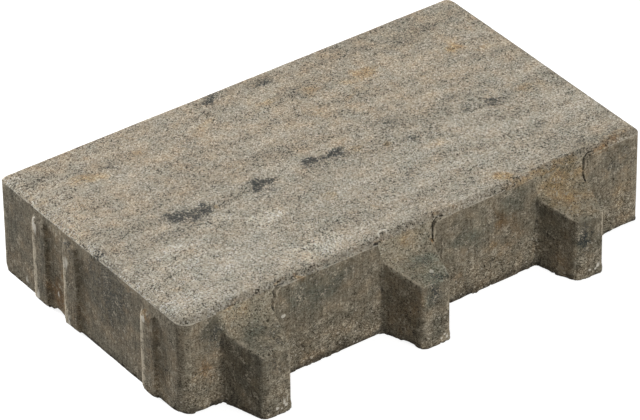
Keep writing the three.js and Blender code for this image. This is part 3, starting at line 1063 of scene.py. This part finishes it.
closed_value = blend_values([(sand_shade, 0.5), (coarse, 0.6), (streaks, 0.6), (blotch, 0.8)])
open_value = blend_values([(sand_shade, 0.8), (coarse, 0.6), (streaks, 0.3), (blotch, 0.9)])
side_values = {"Factor": mark["open"], "A": closed_value, "B": open_value}
side_value = add_node(tree, "Mix", side_values, data_type="FLOAT")
facing_value = blend_values([(sand_shade, 0.98), (coarse, 0.45), (cloud, 0.65), (blotch, 0.3)])
torn_value = blend_values([(sand_shade, 0.9), (coarse, 0.55), (blotch, 0.6)])
print("nodes so far:", len(tree.nodes))

# %% Sides, torn walls and facing
FACING_SHADES = {0.0: "#292317", 0.2: "#887e6e", 0.5: "#aea391", 0.8: "#bfb5a3", 1.0: "#e2dacb"}
TORN_SHADES = {0.0: "#282013", 0.2: "#847a65", 0.5: "#a39884", 0.8: "#b5ac97", 1.0: "#d9d0bd"}
SIDE_SHADES = {0.0: "#1b140c", 0.2: "#5b5141", 0.5: "#817765", 0.8: "#9a917e", 1.0: "#d6cdba"}
FACING_FROM, FACING_TO = burr_height + 0.4, burr_height + 0.8
RAGGED_BY = 1.2

spot = add_node(tree, "SeparateXYZ", {"Vector": place})
ragged_height = {0: coarse, 1: RAGGED_BY, 2: spot.outputs["Z"]}
ragged = add_node(tree, "Math", ragged_height, operation="MULTIPLY_ADD")
is_facing = add_node(tree, "MapRange", {"Value": ragged, "From Min": FACING_FROM, "From Max": FACING_TO})
colour = add_node(tree, "ValToRGB", {"Fac": side_value}, stops=SIDE_SHADES)
torn_colour = add_node(tree, "ValToRGB", {"Fac": torn_value}, stops=TORN_SHADES)
facing_colour = add_node(tree, "ValToRGB", {"Fac": facing_value}, stops=FACING_SHADES)
# Each layer over the sides' colour is how much it covers, its own colour and how it is laid on.
layers = [(mark["scooped"], torn_colour, "MIX"), (is_facing, facing_colour, "MIX")]
open_share = add_node(tree, "Math", {0: is_facing, 1: mark["scooped"]}, operation="MAXIMUM")
print("nodes so far:", len(tree.nodes))

# %% Warm and cool mottling
# An overlay with a linear half, which is #bcbcbc, changes nothing. Only the ends of this ramp tint.
MOTTLE_TINTS = {0.0: "#b1bfc7", 0.5: "#bdbdbc", 1.0: "#cdb8a1"}

mottle = add_node(tree, "TexNoise", {"Vector": place, "Scale": 1 / BLOTCH, "Detail": 2, "Roughness": 0.4})
mottle_value = blend_values([(mark["warm"], 0.1), (mottle, 0.7), (sand_tint, 0.06)])
tint = add_node(tree, "ValToRGB", {"Fac": mottle_value}, stops=MOTTLE_TINTS)
layers.append((1, tint, "OVERLAY"))
print("nodes so far:", len(tree.nodes))

# %% The burr's painted highlight
# A thin line of painted highlight along the ridge of the burr, standing in for the raking lamp catching it.
BURR_LINE, BURR_COVER = 0.38, 0.75
BURR_HIGHLIGHT = "#d6cdbb"

from_burr = add_node(tree, "Math", {0: spot.outputs["Z"], 1: burr_height}, operation="SUBTRACT")
gap = add_node(tree, "Math", {0: from_burr}, operation="ABSOLUTE")
line_range = {"Value": gap, "From Min": BURR_LINE, "From Max": BURR_LINE / 3}
line = add_node(tree, "MapRange", line_range, interpolation_type="SMOOTHSTEP")
broken_line = add_node(tree, "Math", {0: line, 1: mark["burr"]}, operation="MULTIPLY")
highlight_cover = add_node(tree, "Math", {0: broken_line, 1: BURR_COVER}, operation="MULTIPLY")
layers.append((highlight_cover, to_linear(BURR_HIGHLIGHT), "MIX"))
print("nodes so far:", len(tree.nodes))

# %% Stains
# Each stain has a colour, how it is laid on, how strong it gets, where it starts and where it is full, and
# how much the wide noise moves it. An overlay keeps the grains that show through, and a mix hides them.
# The layer for rubbed edges is partly painted highlight, and the dirt layer is partly painted shade.
STAINS = {
    "ochre": ("#c2b097", "OVERLAY", 1, 0.15, 1.1, 0.8),
    "rust": ("#b39d85", "OVERLAY", 1, 0.2, 1.1, 0.8),
    "grime": ("#9b9fa0", "OVERLAY", 1, 0.1, 1.1, 0.6),
    "cool": ("#b0bbbf", "OVERLAY", 1, 0.1, 1.1, 0.6),
    "pale": ("#dfe0e2", "OVERLAY", 1, -0.1, 1.6, 1.3),
    "anthracite": ("#262c2c", "MIX", 0.92, 0.3, 0.9, 0.9),
    "rubbed_and_highlit": ("#cfc3ac", "MIX", 0.8, 0.25, 0.8, 0),
    "dirt_and_painted_shade": ("#1f1a12", "MIX", 0.9, 0.15, 0.75, 0),
    "chipped": ("#efe9db", "MIX", 0.75, 0.2, 0.9, 0),
}
SPECKLE, BLOB = 1.4, 5
COARSELY_SPECKLED = ("anthracite", "rubbed_and_highlit")

specks = add_node(tree, "TexNoise", {"Vector": place, "Scale": 1 / SPECKLE, "Detail": 3, "Roughness": 0.6})
blobs = add_node(tree, "TexNoise", {"Vector": place, "Scale": 1 / BLOB, "Detail": 2, "Roughness": 0.5})
strong_speckle = blend_values([(specks, 2.2), (sand_tint, 0.8), (blobs, 2.4)])
weak_speckle = blend_values([(specks, 0.8), (sand_tint, 0.2)])
for name, (hex_colour, blend, strength, start, full, drift) in STAINS.items():
    speckle = strong_speckle if name in COARSELY_SPECKLED else weak_speckle
    wide = add_node(tree, "Math", {0: stain, 1: drift, 2: -0.5 * drift}, operation="MULTIPLY_ADD")
    placed = add_node(tree, "Math", {0: wide, 1: mark[name]}, operation="ADD")
    broken = add_node(tree, "Math", {0: speckle, 1: placed}, operation="ADD")
    stain_range = {"Value": broken, "From Min": 0.5 + start, "From Max": 0.5 + full, "To Max": strength}
    cover = add_node(tree, "MapRange", stain_range, interpolation_type="SMOOTHSTEP")
    layers.append((cover, to_linear(hex_colour), blend))
print("nodes so far:", len(tree.nodes))

# %% Quartz and pores, and all layers together
QUARTZ_WHITE, PORE_BROWN = "#e8e0d0", "#2e2617"

bare = add_node(tree, "Math", {0: open_share, 1: mark["open"]}, operation="MAXIMUM")
quartz_shown = add_node(tree, "MapRange", {"Value": bare, "To Min": QUARTZ_UNDER_PASTE})
quartz_cover = add_node(tree, "Math", {0: quartz_grain, 1: quartz_shown}, operation="MULTIPLY")
pore_cover = add_node(tree, "Math", {0: pore_hole, 1: PORE_COVER}, operation="MULTIPLY")
layers += [(quartz_cover, to_linear(QUARTZ_WHITE), "MIX"), (pore_cover, to_linear(PORE_BROWN), "MIX")]
for cover, layer, blend in layers:
    parts = {"Factor": cover, "A": colour, "B": layer}
    colour = add_node(tree, "Mix", parts, data_type="RGBA", blend_type=blend)
print("layers over the sides' colour:", len(layers))

# %% Relief and surface
GRAIN_HEIGHT = 0.6
# Dry concrete scatters light in all directions: hardly any gloss, and no darker towards the rim.
DRY_CONCRETE = {"Roughness": 0.92, "IOR": 1.5, "Specular IOR Level": 0.35, "Diffuse Roughness": 0.6}

rough_height = blend_values([(sand, -0.6), (coarse, 0.9), (pore_hole, -0.6)])
smooth_height = blend_values([(streaks, 0.3), (coarse, 0.35), (pore_hole, -0.3)])
heights = {"Factor": open_share, "A": smooth_height, "B": rough_height}
relief = add_node(tree, "Mix", heights, data_type="FLOAT")
bump = add_node(tree, "Bump", {"Height": relief, "Distance": GRAIN_HEIGHT * MM, "Strength": 1})
surface = add_node(tree, "BsdfPrincipled", {"Base Color": colour, "Normal": bump, **DRY_CONCRETE})
add_node(tree, "OutputMaterial", {"Surface": surface})
skin.data.materials.clear()
skin.data.materials.append(concrete)
print("nodes in the concrete:", len(tree.nodes))

# %% Hand the skin to the frame
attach(skin, "root")
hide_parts("paving_stone")
print("the pressed stone has taken the place of the cast part")

# %% [markdown]
# ## Studio
#
# The stone lies on a white table. A lamp low behind it rakes over the walking face and brings out its grain,
# and a weaker one on the lug side opens up the shade. Seen straight on, the table and the room behind it are
# pure white, apart from a faint shadow.

# %% A white table
# A board with matt white paint. Only the camera sees it glow, so the glow doesn't light the stone.
FLOOR_SIDE, TABLE_GLOW = 12, 0.86
TABLE_PAINT = "#acacac"


def seen_directly(tree):
    """1 for what the camera sees, also in a mirror or through glass, and 0 for light that bounces on."""
    path = add_node(tree, "LightPath").outputs
    seen = add_node(tree, "Math", {0: path["Is Camera Ray"], 1: path["Is Glossy Ray"]}, operation="MAXIMUM")
    return add_node(tree, "Math", {0: seen, 1: path["Is Transmission Ray"]}, operation="MAXIMUM")


floor_mesh = bpy.data.meshes.new("white_table")
half_floor = FLOOR_SIDE / 2
floor_corners = [(x * half_floor, y * half_floor, 0) for x, y in ((-1, -1), (1, -1), (1, 1), (-1, 1))]
floor_mesh.from_pydata(floor_corners, [], [(0, 1, 2, 3)])
floor = bpy.data.objects.new("white_table", floor_mesh)
scene.collection.objects.link(floor)

table_top = bpy.data.materials.new("white_table_top")
table_top.use_nodes = True
tree = table_top.node_tree
tree.nodes.clear()
paint = add_node(tree, "BsdfDiffuse", {"Color": to_linear(TABLE_PAINT)})
glow = add_node(tree, "Emission", {"Strength": TABLE_GLOW})
lit = add_node(tree, "AddShader", {0: paint, 1: glow})
table_look = add_node(tree, "MixShader", {0: seen_directly(tree), 1: paint, 2: lit})
add_node(tree, "OutputMaterial", {"Surface": table_look})
floor_mesh.materials.append(table_top)
print("the table measures", FLOOR_SIDE, "m")

# %% The room
ROOM_LIGHT, WHITE = 0.2, 1

world = bpy.data.worlds.new("studio")
scene.world = world
world.use_nodes = True
tree = world.node_tree
tree.nodes.clear()
strengths = {"Factor": seen_directly(tree), "A": ROOM_LIGHT, "B": WHITE}
strength = add_node(tree, "Mix", strengths, data_type="FLOAT")
room = add_node(tree, "Background", {"Color": (1, 1, 1, 1), "Strength": strength})
add_node(tree, "OutputWorld", {"Surface": room})
print("the room lights the stone with", ROOM_LIGHT, "and is seen as", WHITE)


# %% Lamps
def soft_lamp(name, azimuth, elevation, watts, size=0.8, away=2):
    """A round soft lamp that points at the stone. Azimuth is counted from +X towards +Y, in degrees."""
    light = bpy.data.lights.new(name, "AREA")
    light.shape = "DISK"
    light.size = size
    light.energy = watts
    lamp = bpy.data.objects.new(name, light)
    turn, rise = math.radians(azimuth), math.radians(elevation)
    flat_part = math.cos(rise)
    direction = Vector((math.cos(turn) * flat_part, math.sin(turn) * flat_part, math.sin(rise)))
    lamp.location = direction * away
    lamp.rotation_mode = "QUATERNION"
    lamp.rotation_quaternion = direction.to_track_quat("Z", "Y")
    lamp.visible_camera = False
    scene.collection.objects.link(lamp)
    return lamp


soft_lamp("raking_lamp", azimuth=104, elevation=24, watts=66)
soft_lamp("lug_side_lamp", azimuth=283, elevation=28, watts=18)

# %% Camera
CAMERA_AIM = Vector((-2.263, 11.169, 24.660)) * MM
CAMERA_AWAY = 2629.8 * MM
CAMERA_TURN, CAMERA_RISE, CAMERA_ROLL = -35.673, 34.369, -0.737
CAMERA_LENS, CAMERA_SENSOR, CAMERA_SEES = 275.7, 36, 20

camera = bpy.data.objects.new("camera", bpy.data.cameras.new("camera"))
camera.data.lens = CAMERA_LENS
camera.data.sensor_width = CAMERA_SENSOR
camera.data.clip_end = CAMERA_SEES
turned = (
    Matrix.Rotation(math.radians(CAMERA_TURN), 4, "Z")
    @ Matrix.Rotation(math.radians(90 - CAMERA_RISE), 4, "X")
    @ Matrix.Rotation(math.radians(CAMERA_ROLL), 4, "Z")
)
back = turned.to_3x3() @ Vector((0, 0, 1))
camera.matrix_world = Matrix.Translation(CAMERA_AIM + back * CAMERA_AWAY) @ turned
scene.collection.objects.link(camera)
scene.camera = camera
scene.view_settings.view_transform = "Standard"
print("the camera stands at, in metres:", camera.matrix_world.translation)
